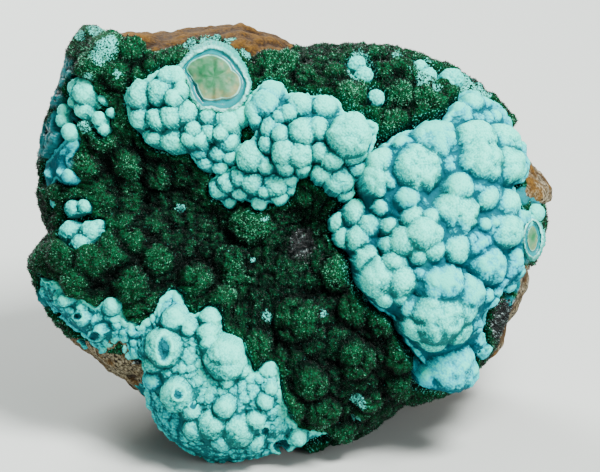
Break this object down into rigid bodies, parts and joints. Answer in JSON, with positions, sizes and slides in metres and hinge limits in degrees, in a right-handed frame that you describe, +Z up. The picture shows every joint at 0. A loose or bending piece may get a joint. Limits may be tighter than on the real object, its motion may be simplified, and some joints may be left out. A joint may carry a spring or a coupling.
{
  "type": "mineral specimen, malachite with chrysocolla",
  "caption": "Cabinet mineral specimen: pale blue chrysocolla balls on a dark green malachite crust over brown limonite matrix, standing on its flat base.",
  "frame": {"origin": "centre of the bounding box on the plane that the specimen stands on", "axes": "+Z up, +X to the right along the display face, the display face looks towards -Y"},
  "size_m": [0.0822, 0.0612, 0.0632],
  "materials": {
    "limonite": "rough, earthy, matt",
    "malachite": "velvety, with fine sparkling crystals",
    "chrysocolla": "powdery, matt, finely grained"
  },
  "bodies": {
    "root": {"limonite_matrix": "limonite", "malachite_crust": "malachite", "chrysocolla_upper_growth": "chrysocolla", "chrysocolla_lower_growth": "chrysocolla", "chrysocolla_corner_growth": "chrysocolla", "chrysocolla_left_drape": "chrysocolla", "chrysocolla_trefoil": "chrysocolla", "chrysocolla_top_ball_1": "chrysocolla", "chrysocolla_top_ball_2": "chrysocolla", "chrysocolla_top_ball_3": "chrysocolla", "chrysocolla_top_ball_4": "chrysocolla"}
  },
  "joints": []
}
